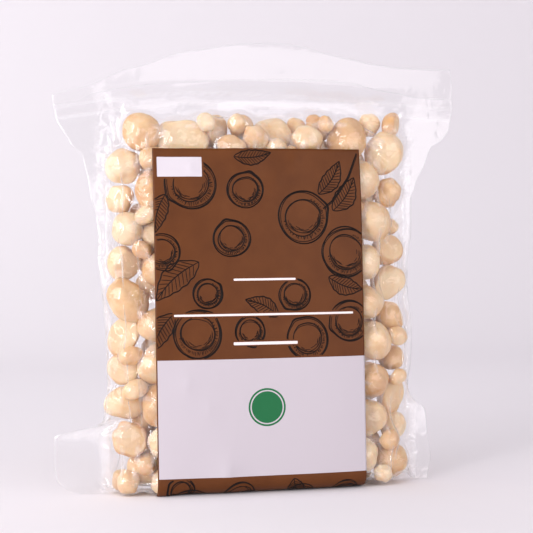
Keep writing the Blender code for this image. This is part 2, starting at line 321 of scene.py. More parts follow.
# %% The pouch's outline
# Each edge is a chain of design points: height, then x. The corners stand out as flat ears.
LEFT_EDGE = (
    (0.6, -88.0), (2.6, -94.0), (7.0, -98.5), (12.0, -99.6), (28.5, -100.0), (33.5, -77.0), (45.0, -74.6),
    (68.0, -74.6), (92.0, -76.2), (112.0, -78.2), (119.0, -77.8), (132.0, -78.6), (141.0, -81.0),
    (148.0, -82.0), (161.0, -84.5), (166.0, -90.0), (178.6, -97.0), (187.6, -98.4), (216.0, -100.0),
)
RIGHT_EDGE = (
    (0.6, 84.0), (11.3, 86.2), (23.7, 84.3), (35.0, 83.6), (41.5, 76.5), (46.0, 74.8), (51.0, 75.0),
    (57.7, 76.5), (66.5, 77.3), (75.5, 77.5), (84.4, 76.8), (90.0, 75.8), (97.0, 75.4), (104.8, 75.6),
    (115.2, 76.6), (121.6, 78.0), (128.6, 78.2), (140.0, 78.2), (146.5, 80.4), (158.0, 86.0),
    (165.4, 88.5), (169.0, 95.0), (174.0, 98.3), (184.0, 99.6), (216.0, 99.2),
)
# Each lip is a chain too: x, then height. Both sag towards the corners.
FRONT_LIP = (
    (-100.0, 185.0), (-88.7, 186.1), (-78.7, 190.7), (-69.6, 192.5), (-51.3, 194.9), (-34.3, 196.4),
    (-17.1, 197.4), (17.3, 198.4), (35.0, 198.2), (47.8, 196.9), (64.7, 193.1), (85.0, 190.0),
    (100.0, 189.0),
)
BACK_LIP = (
    (-100.0, 189.5), (-86.0, 193.0), (-60.0, 203.0), (-35.0, 211.0), (-7.4, 215.4), (8.6, 216.0),
    (16.6, 215.7), (25.2, 214.4), (35.3, 211.6), (48.0, 208.7), (60.8, 206.2), (72.2, 204.9),
    (94.7, 204.2), (100.0, 204.0),
)
# The top weld's lower edge: x, then height.
SEAL_LINE = (
    (-100.0, 178.0), (-56.3, 183.6), (-34.5, 185.6), (-17.0, 185.4), (17.0, 184.2), (56.2, 181.8),
    (100.0, 178.5),
)
# Grid columns run straight up as far out as STRAIGHT_TO, and follow the outline beyond it.
STRAIGHT_TO, LIP_REACH = 60.0, 39.0
SPLIT_HEIGHT, FLOOR_CLEAR, WEB_APART = 9.0, 0.7, 0.15
COLUMNS_STRAIGHT, COLUMNS_OUTER, ROWS_WALL, ROWS_BASE = 129, 42, 201, 24
FILM_THICKNESS = 0.12
FILM_CLEAR = 0.28


def weld_wave(x, z):
    """How far the webs' shared plane bends from the middle plane: ears curl, and margins ripple."""
    out = np.clip((np.abs(x) - 76) / 24, 0, 1)
    up = np.clip((z - 183) / 32, 0, 1)
    curl = 3.2 * out ** 1.5 * np.where(x < 0, np.cos(z / 33 + 0.6), -np.cos(z / 41 + 2.1))
    ripple = 0.9 * out * np.sin(z / 6.3 + 0.9 * np.sin(z / 17)) + 1.1 * up * np.sin(x / 23 + 1.0)
    arcs = np.clip((z - 180) / 6, 0, 1) * np.sin((z + x ** 2 / 620) / 1.9 + 0.8 * np.sin(x / 31))
    return curl + ripple + 0.28 * arcs


def web_start(front):
    """A web before the air is drawn out: rows run from the lip down and under the base.

    The wall is the fill's half depth over the outline. The foot turns in with a quarter circle of
    radius BASE_CORNER and runs flat to the weld in the middle of the base.
    """
    side = -1.0 if front else 1.0
    share = np.linspace(0, 1, ROWS_WALL)[:, None]
    inner = np.linspace(-STRAIGHT_TO, STRAIGHT_TO, COLUMNS_STRAIGHT)
    outer = np.linspace(0, 1, COLUMNS_OUTER + 1)[1:]
    reach = np.concatenate([-1 - outer[::-1], inner / STRAIGHT_TO, 1 + outer])[None]
    lip_beyond = np.sign(reach) * (STRAIGHT_TO + (np.abs(reach) - 1) * LIP_REACH)
    lip_x = np.where(np.abs(reach) <= 1, reach * STRAIGHT_TO, lip_beyond)
    lip = FRONT_LIP if front else BACK_LIP
    top = smooth_curve(lip_x, *zip(*lip))
    z = top + (SPLIT_HEIGHT - top) * share

    def across(height):
        """x of every column at a height, and the outline's half width on its side."""
        left = -smooth_curve(height, *zip(*LEFT_EDGE))
        right = smooth_curve(height, *zip(*RIGHT_EDGE))
        edge = np.where(reach < 0, left, right)
        beyond = STRAIGHT_TO + (np.abs(reach) - 1) * (edge - STRAIGHT_TO)
        return np.where(np.abs(reach) <= 1, reach * STRAIGHT_TO, np.sign(reach) * beyond), edge

    x, edge = across(z)
    depth = half_depth(x, z, np.minimum(edge, FILL_HALF_WIDTH))
    wall = np.stack([x, depth, z], axis=2)

    foot_x, foot_edge = across(np.full_like(reach, SPLIT_HEIGHT))
    foot_depth = half_depth(foot_x, SPLIT_HEIGHT, np.minimum(foot_edge, FILL_HALF_WIDTH))
    corner = np.minimum(BASE_CORNER, foot_depth)
    straight = SPLIT_HEIGHT - FLOOR_CLEAR - corner
    length = straight + corner * np.pi / 2 + (foot_depth - corner)
    run = np.linspace(0, 1, ROWS_BASE + 1)[1:, None] * length
    turn = np.clip((run - straight) / np.maximum(corner, 1e-3), 0, np.pi / 2)
    inward = np.clip(run - straight - corner * np.pi / 2, 0, None)
    foot_z = SPLIT_HEIGHT - np.minimum(run, straight) - corner * np.sin(turn)
    foot_y = foot_depth - corner * (1 - np.cos(turn)) - inward
    foot = np.stack([across(np.maximum(foot_z, FLOOR_CLEAR))[0], foot_y, foot_z], axis=2)

    web = np.concatenate([wall, foot], axis=0)
    web[..., 1] = side * (web[..., 1] + WEB_APART) + middle(web[..., 2]) + weld_wave(web[..., 0], web[..., 2])
    return web


# %% [markdown]
# ## How the film finds its shape
# Position-based relaxation is what most cloth solvers do inside: every rule, such as a length to keep
# or a kernel to stay out of, simply moves points until it holds, and many rounds of small moves agree
# on one shape. On a regular grid each rule is a few array operations, with no loop over points.

# %% The relaxation
FILM_GIVE, FILM_NOISE, RECHECK = 0.7, 0.04, 25
WELD_APART, FILM_LOWEST = 0.07, 0.62
SIDE_HOLD, BASE_HOLD, LIP_HOLD = 0.25, 0.4, 0.3
MARGIN_FROM, MARGIN_PASSES, MARGIN_SHARE = 77, 14, 0.6


def nearest_kernels(points, count=6):
    """Indices of the kernel ends nearest to each point, by distance to their surface."""
    flat = points.reshape(-1, 3)
    found = []
    for part in np.array_split(flat, max(1, len(flat) // 6000)):
        distance = np.linalg.norm(part[:, None] - post_at[None], axis=2) - post_radius
        found.append(np.argpartition(distance, count, axis=1)[:, :count])
    return np.concatenate(found)


def lift_out(points, near, clear):
    """Move each point that is inside a kernel straight out from the kernel's centre."""
    flat = points.reshape(-1, 3)
    for column in range(near.shape[1]):
        centre = post_at[near[:, column]]
        radius = post_radius[near[:, column]] + clear
        out = flat - centre
        distance = np.sqrt((out * out).sum(axis=1))
        inside = distance < radius
        flat[inside] = centre[inside] + out[inside] * (radius[inside] / distance[inside])[:, None]
    return flat.reshape(points.shape)


def link_sets(rows, columns):
    """Slices of the two ends of each set of links in a rows by columns grid.

    A link joins neighbours along a row, down a column or on a diagonal. Each direction is split into
    two sets, so that no point is moved twice in one set.
    """
    sets = []
    for start in (0, 1):
        sets.append(((slice(None), slice(start, columns - 1, 2)), (slice(None), slice(start + 1, columns, 2))))
        sets.append(((slice(start, rows - 1, 2), slice(None)), (slice(start + 1, rows, 2), slice(None))))
        low, high = slice(start, rows - 1, 2), slice(start + 1, rows, 2)
        sets.append(((low, slice(0, columns - 1)), (high, slice(1, columns))))
        sets.append(((low, slice(1, columns)), (high, slice(0, columns - 1))))
    return sets


def lengths(points, sets):
    """The distance between the two ends of every link, one array for each set."""
    return [np.sqrt(((points[a] - points[b]) ** 2).sum(axis=2)) for a, b in sets]


def keep_lengths(points, sets, rest, give):
    """Move the two ends of each link together or apart until it has its rest length.

    give is the part of the error that a shortened link corrects, so that film buckles more easily
    than it stretches.
    """
    for (a, b), length in zip(sets, rest):
        apart = points[b] - points[a]
        now = np.sqrt((apart ** 2).sum(axis=2)) + 1e-9
        error = (now - length) / now
        move = 0.5 * apart * np.where(error > 0, error, give * error)[..., None]
        points[a] += move
        points[b] -= move


def outward(points):
    """Unit normals of a grid, from the cross product of its two directions."""
    along = np.gradient(points, axis=1)
    down = np.gradient(points, axis=0)
    normal = np.cross(along, down)
    return normal / (np.linalg.norm(normal, axis=2, keepdims=True) + 1e-12)


def soften(points, share):
    """Move inner points part of the way to their neighbours' mean: a light bending stiffness."""
    points[1:-1, 1:-1] += share * (neighbour_mean(points) - points[1:-1, 1:-1])


def finer(points):
    """A grid with a point between each two, on a smooth curve through four neighbours."""
    for _ in range(2):
        padded = np.concatenate([2 * points[:1] - points[1:2], points, 2 * points[-1:] - points[-2:-1]])
        between = (9 * (padded[1:-2] + padded[2:-1]) - padded[:-3] - padded[3:]) / 16
        woven = np.empty((2 * len(points) - 1,) + points.shape[1:])
        woven[0::2], woven[1::2] = points, between
        points = woven.transpose(1, 0, 2)
    return points


def calm_margins(points, seal):
    """Even out the flat film of the side margins and of the lip, where nothing lies under it."""
    flat = np.clip((np.abs(points[..., 0]) - MARGIN_FROM) / 5, 0, 1)
    flat = np.maximum(flat, np.clip((points[..., 2] - seal + 6) / 5, 0, 1))[1:-1, 1:-1, None]
    for _ in range(MARGIN_PASSES):
        points[1:-1, 1:-1] += MARGIN_SHARE * flat * (neighbour_mean(points) - points[1:-1, 1:-1])


def draw_down(front, levels, growth, push, sweeps):
    """Relax one web over the kernels, from coarse to fine, and return its points.

    Over the fill the rest lengths are growth times longer, which is the spare width that folds into
    creases. The margins keep their own lengths, and the edges are held near their outline.
    """
    side = -1.0 if front else 1.0
    start = web_start(front)
    seal = smooth_curve(start[..., 0], *zip(*SEAL_LINE))
    noise = np.random.default_rng(5 if front else 6)
    points = None
    for step_size, passes, bend in levels:
        begin = start[::step_size, ::step_size]
        points = begin.copy() if points is None else finer(points)
        points[1:-1, 1:-1] += noise.normal(0, FILM_NOISE * step_size, points[1:-1, 1:-1].shape)
        rows, columns = points.shape[:2]
        sets = link_sets(rows, columns)
        rest = lengths(begin, sets)
        reach = 70 + 5 * np.sin(begin[..., 2] / 9) + 3 * np.sin(begin[..., 2] / 5.3)
        loose = np.clip((reach - np.abs(begin[..., 0])) / 14, 0, 1)
        loose = loose * np.clip((seal[::step_size, ::step_size] - begin[..., 2]) / 8, 0, 1)
        rest = [length * (1 + (growth - 1) * loose[a]) for length, (a, b) in zip(rest, sets)]
        below_seal = (begin[..., 2] < seal[::step_size, ::step_size])[..., None]
        hold = np.zeros((rows, columns, 1))
        hold[:, [0, -1]] = SIDE_HOLD
        hold[-1] = BASE_HOLD
        hold[0] = LIP_HOLD
        for turn in range(passes):
            if turn % RECHECK == 0:
                near = nearest_kernels(points)
            points -= push * step_size * outward(points) * side * below_seal
            soften(points, bend)
            for _ in range(sweeps):
                keep_lengths(points, sets, rest, FILM_GIVE)
                points = lift_out(points, near, FILM_CLEAR)
            plane = middle(points[..., 2]) + weld_wave(points[..., 0], points[..., 2]) + side * WELD_APART
            if front:
                points[..., 1] = np.minimum(points[..., 1], plane)
            else:
                points[..., 1] = np.maximum(points[..., 1], plane)
            points[..., 2] = np.maximum(points[..., 2], FILM_LOWEST)
            points += hold * (begin - points)
        print("film level", step_size, "done,", rows, "by", columns)
    calm_margins(points, seal)
    return points


# %% [markdown]
# ## Film sheets
# Real film of this kind is 0.07 to 0.12 mm thick. Each web becomes a closed thin sheet, since a single
# surface has no inside and can't be printed or measured. Two numbers go with every point for the
# finish: how white it is drawn, from how sharply the film is folded there, its welds and its edges, and
# how finely it is wrinkled. That white is partly the film's real milkiness and partly painted highlight
# for glints and the glow of the cut edges.

# %% Film objects
def thin_shell(name, points, thickness):
    """A closed sheet from a grid of points: the grid, a copy set in along its normals, and a rim."""
    rows, columns = points.shape[:2]
    inner = points - thickness * outward(points)
    face = grid_faces(rows, columns)
    index = np.arange(rows * columns).reshape(rows, columns)
    ring = np.concatenate([index[0, :-1], index[:-1, -1], index[-1, :0:-1], index[:0:-1, 0]])
    after = np.roll(ring, -1)
    count = rows * columns
    rim = np.stack([after, ring, ring + count, after + count], axis=1)
    return mesh_from_arrays(name, np.concatenate([points.reshape(-1, 3), inner.reshape(-1, 3)]),
                            np.concatenate([face, face[:, ::-1] + count, rim]))


def crease_and_glint_share(points):
    """How white the film is drawn at each point: how sharply it is folded there (the distance from its
    neighbours' mean, scaled), the top weld's two lines, and half along the sheet's edges. The white is
    partly the real milkiness of folds and welds, and partly painted highlight for the glints in the
    folds and the glow of the cut edges.
    """
    mean = neighbour_mean(np.pad(points, ((1, 1), (1, 1), (0, 0)), mode="edge"))
    share = np.clip((np.linalg.norm(points - mean, axis=2) - 0.035) / 0.16, 0, 1)
    seal = smooth_curve(points[..., 0], *zip(*SEAL_LINE))
    for above, width in ((0.0, 0.7), (5.5, 0.5)):
        share = np.maximum(share, 0.7 * np.exp(-((points[..., 2] - seal - above) / width) ** 2))
    # Painted glow: the sheet's cut edges get half of the full white.
    share[0], share[-1], share[:, 0], share[:, -1] = 0.5, 0.5, 0.5, 0.5
    return share


def drawn_share(points):
    """How finely the film is wrinkled: fully over the kernels, and little in its flat margins."""
    inside = np.clip((80 - np.abs(points[..., 0])) / 6, 0, 1) * np.clip((186 - points[..., 2]) / 8, 0, 1)
    return 0.12 + 0.88 * inside


FILM_LEVELS = ((4, 120, 0.05), (2, 90, 0.04), (1, 60, 0.03))
FILM_GROWTH, FILM_PUSH, FILM_SWEEPS = 1.06, 0.02, 3
film_levels = FILM_LEVELS
web_points = {}
for web_name, is_front in (("film_front", True), ("film_back", False)):
    grid = draw_down(is_front, film_levels, FILM_GROWTH, FILM_PUSH, FILM_SWEEPS)
    web_points[web_name] = grid
    grid = grid if is_front else grid[:, ::-1]
    web = thin_shell(web_name + "_web", grid[:, ::-1], FILM_THICKNESS)
    for attribute, values in (("crease_and_glint", crease_and_glint_share(grid)), ("drawn", drawn_share(grid))):
        point_attribute(web, attribute, np.tile(values[:, ::-1].ravel(), 2))
    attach(web, "root")
    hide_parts(web_name)
    print(web.name, len(web.data.polygons), "faces")

# %% [markdown]
# ## The kernels
# A shelled macadamia kernel is a smooth, nearly round body of two halves. It has a blunt point at one
# end, a flatter patch at the other, and a faint line where the halves meet. Shelling chips some of
# them, which leaves flat, paler facets, and splits some into halves. A sculpted ball would do for one
# kernel. A radius that depends on the direction makes all of them, each one different.

# %% Kernel surface
KERNEL_ROWS, KERNEL_COLUMNS = 26, 40
KERNEL_LOWEST, KERNEL_REACH, HALF_SHARE = 1.3, 1.05, 0.25
KERNEL_SIZE, TIP_HEIGHT, FLAT_DEPTH, SEAM_DEPTH, WAVE_DEPTH = 1.12, 0.05, 0.05, 0.014, 0.045
REACH_EASE, CUT_EASE, FLOOR_EASE = 0.0012, 0.011, 0.04


def soft_excess(over, ease):
    """How far a value is over a limit, with a rounded corner: (x + sqrt(x ** 2 + ease)) / 2."""
    return 0.5 * (over + np.sqrt(over ** 2 + ease))


def turn_matrix(draw):
    """A random rotation: three directions made square to each other, one after the other."""
    first, second = draw.normal(size=3), draw.normal(size=3)
    first /= np.linalg.norm(first)
    second -= first * (first @ second)
    second /= np.linalg.norm(second)
    return np.stack([first, second, np.cross(first, second)], axis=1)


def kernel_surface(centre, radius, drawn_out, draw, cuts):
    """Points of one kernel, with how deep each lies under a chip's cut face.

    The radius is KERNEL_SIZE plus a blunt tip, minus a flat at the far end and a groove round the
    seam, minus three slow waves, and softly kept under KERNEL_REACH, which the film stays clear of.
    Each chip is a plane that the surface may not cross. The whole is then lengthened along
    drawn_out by that vector's length on both sides, and kept off the floor.
    """
    polar = np.linspace(0, np.pi, KERNEL_ROWS + 2)[1:-1, None]
    around = np.linspace(0, 2 * np.pi, KERNEL_COLUMNS, endpoint=False)[None]
    way = np.stack([np.sin(polar) * np.cos(around), np.sin(polar) * np.sin(around),
                    np.cos(polar) * np.ones_like(around)], axis=2)
    way = np.concatenate([[[0, 0, 1.0]], way.reshape(-1, 3), [[0, 0, -1.0]]])
    size = KERNEL_SIZE + TIP_HEIGHT * np.exp(-((1 - way[:, 2]) / 0.06))
    size -= FLAT_DEPTH * np.exp(-((1 + way[:, 2]) / 0.10))
    size -= SEAM_DEPTH * np.exp(-(way[:, 1] / 0.05) ** 2)
    for _ in range(3):
        size -= WAVE_DEPTH * (1 - np.sin(way @ draw.normal(0, 2.8, 3) + draw.uniform(0, 6)))
    size -= soft_excess(size - KERNEL_REACH, REACH_EASE)
    way = way * np.array([1.0, draw.uniform(0.94, 1.0), draw.uniform(0.92, 1.0)])
    way = way @ turn_matrix(draw).T
    points = way * size[:, None]
    chip = np.zeros(len(points))
    for normal, reach in cuts:
        over = points @ normal - reach
        points = points - soft_excess(over, CUT_EASE)[:, None] * normal
        chip = np.maximum(chip, np.clip(over / 0.05, 0, 1))
    points = radius * points
    stretch = radius * (np.linalg.norm(drawn_out) + 1e-9)
    points = centre + points + (points @ drawn_out)[:, None] * drawn_out / stretch
    points[:, 2] = KERNEL_LOWEST + soft_excess(points[:, 2] - KERNEL_LOWEST, FLOOR_EASE)
    return points, chip


def kernel_faces():
    """Triangles: two for each quad between the rings, and a fan at each tip."""
    ring = np.arange(KERNEL_COLUMNS)
    after = (ring + 1) % KERNEL_COLUMNS
    parts = []
    for row in range(KERNEL_ROWS - 1):
        low, high = 1 + row * KERNEL_COLUMNS, 1 + (row + 1) * KERNEL_COLUMNS
        parts.append(np.stack([low + ring, high + ring, high + after], axis=1))
        parts.append(np.stack([low + ring, high + after, low + after], axis=1))
    last = 1 + KERNEL_ROWS * KERNEL_COLUMNS
    parts.append(np.stack([np.zeros_like(ring), 1 + ring, 1 + after], axis=1))
    last_ring = last - KERNEL_COLUMNS
    parts.append(np.stack([np.full_like(ring, last), last_ring + after, last_ring + ring], axis=1))
    return np.concatenate(parts)


def chips_for(name, radius, draw):
    """The cut faces of a kernel, each a direction and how far out it lies, in radii.

    The half at the top has one, with its flat side out. A whole kernel has one to three shallow
    ones, and now and then a deep one that faces out. A broken piece has two to four.
    """
    if name == "kernel_top_2":
        normal = np.array([-0.12, -1.0, 0.14])
        return [(normal / np.linalg.norm(normal), 0.3)]
    whole = radius > MOST_PIECE
    cuts = []
    if whole and draw.uniform() < HALF_SHARE:
        normal = np.array([0.0, 1.0 if "back" in name else -1.0, 0.0]) + draw.normal(0, 0.3, 3)
        cuts.append((normal / np.linalg.norm(normal), draw.uniform(0.35, 0.55)))
    for _ in range(draw.choice([1, 2, 3]) if whole else draw.choice([2, 3, 4])):
        normal = draw.normal(size=3)
        cuts.append((normal / np.linalg.norm(normal), draw.uniform(0.8 if whole else 0.66, 0.96)))
    return cuts


def kernel_object(name, members, draw):
    """One mesh for the kernels of a node, with a tint for each kernel and a mask for its chips."""
    faces = kernel_faces()
    all_points, all_faces, tints, masks = [], [], [], []
    for member in members:
        radius = kernel_radius[member]
        cuts = chips_for(name, radius, draw)
        points, chip = kernel_surface(kernel_at[member], radius, kernel_drawn[member], draw, cuts)
        all_faces.append(faces + sum(len(part) for part in all_points))
        all_points.append(points)
        tints.append(np.full(len(points), draw.uniform()))
        masks.append(chip)
    made = mesh_from_arrays(name + "_nut", np.concatenate(all_points), np.concatenate(all_faces))
    point_attribute(made, "tint", np.concatenate(tints))
    point_attribute(made, "chip", np.concatenate(masks))
    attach(made, "root")
    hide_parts(name)
    return made


kernel_draw = np.random.default_rng(77)
kernel_objects = []
for node in RIM_NODES + BUNCH_NODES:
    members = [i for i, owner in enumerate(kernel_names) if owner == node]
    kernel_objects.append(kernel_object(node, members, kernel_draw))
print(len(kernel_objects), "kernel pieces,", sum(len(k.data.polygons) for k in kernel_objects), "faces")

# %% [markdown]
# ## The label
# One strip of coated paper runs down the front, under the base and up the back. Paper is stiff, so it
# rests on the tallest bumps and bridges the rest, like a taut skin over posts. The film's height over
# the plain pad is the posts; averaging neighbours while staying above them gives the skin.

# %% Label surface
LABEL_CENTRE, LABEL_HALF_WIDTH = -2.55, 50.5
LABEL_FRONT_TOP, LABEL_BACK_TOP, LABEL_THICKNESS = 163.2, 61.5, 0.22
LABEL_COLUMNS, LABEL_STEP = 121, 1.25
LABEL_LEAST, LABEL_CLEAR = 0.55, 0.3
FOOT_Z, LABEL_LOWEST = 1.15, 0.12
TAUT_PASSES, NO_POST, MOST_BUMP = 160, -9.0, 3.0


def label_profile(x, top):
    """Half depth and height down one side of the pad at x and round its foot."""
    foot = half_depth(x, 0.0)
    corner_z = FOOT_Z + BASE_CORNER
    wall_z = np.linspace(top, corner_z, int((top - corner_z) / LABEL_STEP))
    turn = np.linspace(0, np.pi / 2, 12)[1:]
    arc = (foot - BASE_CORNER + BASE_CORNER * np.cos(turn), corner_z - BASE_CORNER * np.sin(turn))
    return np.concatenate([half_depth(x, wall_z), arc[0]]), np.concatenate([wall_z, arc[1]])


def label_pad():
    """The plain surface under the label: rows from the front's top, under the base, to the back's top."""
    columns = []
    for x in LABEL_CENTRE + np.linspace(-LABEL_HALF_WIDTH, LABEL_HALF_WIDTH, LABEL_COLUMNS):
        front, front_z = label_profile(x, LABEL_FRONT_TOP)
        back, back_z = label_profile(x, LABEL_BACK_TOP)
        floor = np.linspace(-front[-1], back[-1], 18)[1:-1]
        depth = np.concatenate([-front, floor, back[::-1]])
        height = np.concatenate([front_z, np.full(len(floor), FOOT_Z), back_z[::-1]])
        columns.append(np.stack([np.full(len(depth), x), depth + middle(height), height], axis=1))
    return np.stack(columns, axis=1)


def bumps_under(pad, web):
    """How far a web stands out of the pad beside each pad point.

    Each film point belongs to the column at its x and the row nearest to it in depth and height.
    Its height is its offset from that pad point along the outward normal.
    """
    flat = web.reshape(-1, 3)
    share = (flat[:, 0] - pad[0, 0, 0]) / (2 * LABEL_HALF_WIDTH)
    column = np.round(share * (LABEL_COLUMNS - 1)).astype(int)
    near = (column >= 0) & (column < LABEL_COLUMNS) & (flat[:, 2] < LABEL_FRONT_TOP + 1)
    flat, column = flat[near], column[near]
    gap = pad[:, column, 1:] - flat[None, :, 1:]
    row = (gap ** 2).sum(axis=2).argmin(axis=0)
    over = ((flat - pad[row, column]) * -outward(pad)[row, column]).sum(axis=1)
    bumps = np.full(pad.shape[:2], NO_POST)
    np.maximum.at(bumps, (row, column), np.where(over < MOST_BUMP, over, NO_POST))
    return bumps


def taut_over(posts, passes):
    """The lowest skin over the posts: each point takes its neighbours' mean, or its post if higher."""
    skin = posts.copy()
    for _ in range(passes):
        skin = np.maximum(neighbour_mean(np.pad(skin, 1, mode="edge")), posts)
    return skin


pad = label_pad()
posts = np.full(pad.shape[:2], LABEL_LEAST)
for web in web_points.values():
    posts = np.maximum(posts, bumps_under(pad, web) + LABEL_CLEAR)
label_lift = taut_over(posts, TAUT_PASSES)
label_points = pad - label_lift[..., None] * outward(pad)
label_points[..., 2] = np.maximum(label_points[..., 2], LABEL_LOWEST)
centre_steps = np.linalg.norm(np.diff(label_points[:, LABEL_COLUMNS // 2], axis=0), axis=1)
label_run = np.concatenate([[0], np.cumsum(centre_steps)])
print("label", round(label_run[-1]), "mm long, lifted by up to", label_lift.max().round(2), "mm")
label = thin_shell("label_paper", label_points[:, ::-1], LABEL_THICKNESS)
columns_across = np.linspace(LABEL_HALF_WIDTH, -LABEL_HALF_WIDTH, LABEL_COLUMNS)
label_across, label_down = np.meshgrid(columns_across, label_run)
point_attribute(label, "label_across", np.tile(label_across.ravel(), 2))
point_attribute(label, "label_down", np.tile(label_down.ravel(), 2))
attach(label, "root")
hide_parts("label")

# %% [markdown]
# ## The printed drawing
# Line drawings of nut halves and leaves are printed in near-black. Each stroke is a very thin ribbon
# laid on the paper, so it stays sharp at any distance and follows every bend.

# %% Strokes
INK_LIFT, INK_THICKNESS, INK_STEP, STROKE_HALF = 0.03, 0.03, 0.7, 0.8
front_rows = int((LABEL_FRONT_TOP - FOOT_Z - BASE_CORNER) / LABEL_STEP)
centre_heights = label_points[:front_rows, LABEL_COLUMNS // 2, 2]
PANEL_HEIGHTS = (63.8, 8.6)
PANEL_FROM, PANEL_TO = np.interp(-np.array(PANEL_HEIGHTS), -centre_heights, label_run[:front_rows]).tolist()
EDGE_CLEAR, BOX_CLEAR = 0.4, 0.6
label_normals = -outward(label_points)

# Printed areas of the label, in millimetres across and down: left, right, top, bottom, corner, colour.
PRINTED = (
    # The panel stops 0.6 mm short of the label's left edge, so a thin brown line is left there: painted shade,
    # a dark line standing in for the shadow along the paper's edge.
    (-49.9, 60.0, PANEL_FROM, PANEL_TO, 0.01, "#c6bfc5"),
    (-48.5, -27.5, 4.2, 13.6, 0.3, "#d6d0d6"),
    (-13.5, 16.5, 62.0, 63.0, 0.4, "#f3e9e6"),
    (-42.0, 45.0, 78.6, 79.6, 0.4, "#f3e9e6"),
    (-14.0, 17.0, 92.0, 93.4, 0.4, "#f3e9e6"),
    (-7.4, 10.6, PANEL_FROM + 14.0, PANEL_FROM + 32.0, 9.0, "#1d6b3f"),
    (-6.5, 9.7, PANEL_FROM + 14.9, PANEL_FROM + 31.1, 8.1, "#c6bfc5"),
    (-5.9, 9.1, PANEL_FROM + 15.5, PANEL_FROM + 30.5, 7.5, "#1d6b3f"),
)

ink = np.random.default_rng(4)


def on_label(across, down, lift):
    """Places on the label, by bilinear reading of its grid, raised along the normal."""
    column = (across / LABEL_HALF_WIDTH + 1) / 2 * (LABEL_COLUMNS - 1)
    column = np.clip(column, 0, LABEL_COLUMNS - 1.001)
    row = np.clip(np.interp(down, label_run, np.arange(len(label_run))), 0, len(label_run) - 1.001)
    c, r = column.astype(int), row.astype(int)
    u, v = (column - c)[:, None], (row - r)[:, None]
    surface = label_points + lift * label_normals
    return (surface[r, c] * (1 - u) * (1 - v) + surface[r, c + 1] * u * (1 - v)
            + surface[r + 1, c] * (1 - u) * v + surface[r + 1, c + 1] * u * v)


def printable(across, down):
    """True where a stroke may be printed: inside the paper's edges and clear of the pale areas."""
    shown = np.abs(across) < LABEL_HALF_WIDTH - EDGE_CLEAR
    shown &= (down > EDGE_CLEAR) & (down < label_run[-1] - EDGE_CLEAR)
    for left, right, top, bottom, *_ in PRINTED:
        beside = (across < left - BOX_CLEAR) | (across > right + BOX_CLEAR)
        shown &= beside | (down < top - BOX_CLEAR) | (down > bottom + BOX_CLEAR)
    return shown


def even(line):
    """The same line with points at even steps."""
    along = np.concatenate([[0], np.cumsum(np.linalg.norm(np.diff(line, axis=0), axis=1))])
    count = max(3, int(along[-1] / INK_STEP) + 1)
    at = np.linspace(0, along[-1], count)
    return np.stack([np.interp(at, along, line[:, 0]), np.interp(at, along, line[:, 1])], axis=1)


def ribbons(line, width):
    """Closed thin ribbons along the printable parts of a line, narrower towards both ends."""
    line = even(line)
    shown = printable(line[:, 0], line[:, 1])
    starts = np.nonzero(shown & ~np.concatenate([[False], shown[:-1]]))[0]
    ends = np.nonzero(shown & ~np.concatenate([shown[1:], [False]]))[0] + 1
    made = []
    for first, last in zip(starts, ends):
        if last - first < 3:
            continue
        part = line[first:last]
        way = np.gradient(part, axis=0)
        across = np.stack([-way[:, 1], way[:, 0]], axis=1)
        across = across / (np.linalg.norm(way, axis=1, keepdims=True) + 1e-9)
        swell = np.sin(np.pi * np.linspace(0.06, 0.94, len(part))) ** 0.5
        half = (STROKE_HALF * width * (0.4 + 0.6 * swell))[:, None]
        left, right = part - half * across, part + half * across
        low, high = INK_LIFT, INK_LIFT + INK_THICKNESS
        corners = ((left, low), (left, high), (right, high), (right, low))
        made.append(np.stack([on_label(*side.T, lift) for side, lift in corners], axis=1))
    return made


def ribbon_mesh(name, parts):
    """One mesh from many ribbons, each a run of four-cornered rings with a cap at each end."""
    points, faces, count = [], [], 0
    for part in parts:
        index = count + np.arange(len(part) * 4).reshape(-1, 4)
        after = np.roll(index, -1, axis=1)
        sides = np.stack([index[:-1], index[1:], after[1:], after[:-1]], axis=2).reshape(-1, 4)
        faces += [sides, index[:1], index[-1:, ::-1]]
        points.append(part.reshape(-1, 3))
        count += len(part) * 4
    return mesh_from_arrays(name, np.concatenate(points), np.concatenate(faces), smooth=False)


# %% [markdown]
# ## What is drawn
# An opened nut is a few wavering rings, one inside the other, with short hatching in the shade. A leaf
# is two bowed sides, a midrib and its veins. The hand-drawn waver is a sum of two slow sine waves,
# since plain circles would look like a stamp.

# %% Motifs
def wobble(count, size):
    """A slow random waver for a hand-drawn line: two sine waves of random phase."""
    t = np.linspace(0, 2 * np.pi, count)
    return size * (np.sin(2 * t + ink.uniform(0, 6)) + 0.6 * np.sin(3 * t + ink.uniform(0, 6)))


def ring_line(centre, radius, turned, tip, waver):
    """A closed, wavering ring with a blunt point: radius * (1 + tip * exp(-(angle / 0.22) ** 2))."""
    angle = np.linspace(-np.pi, np.pi, 90)
    reach = radius * (1 + tip * np.exp(-(angle / 0.22) ** 2)) + wobble(90, waver)
    reach[-1] = reach[0]
    return centre + reach[:, None] * np.stack([np.cos(angle + turned), np.sin(angle + turned)], axis=1)


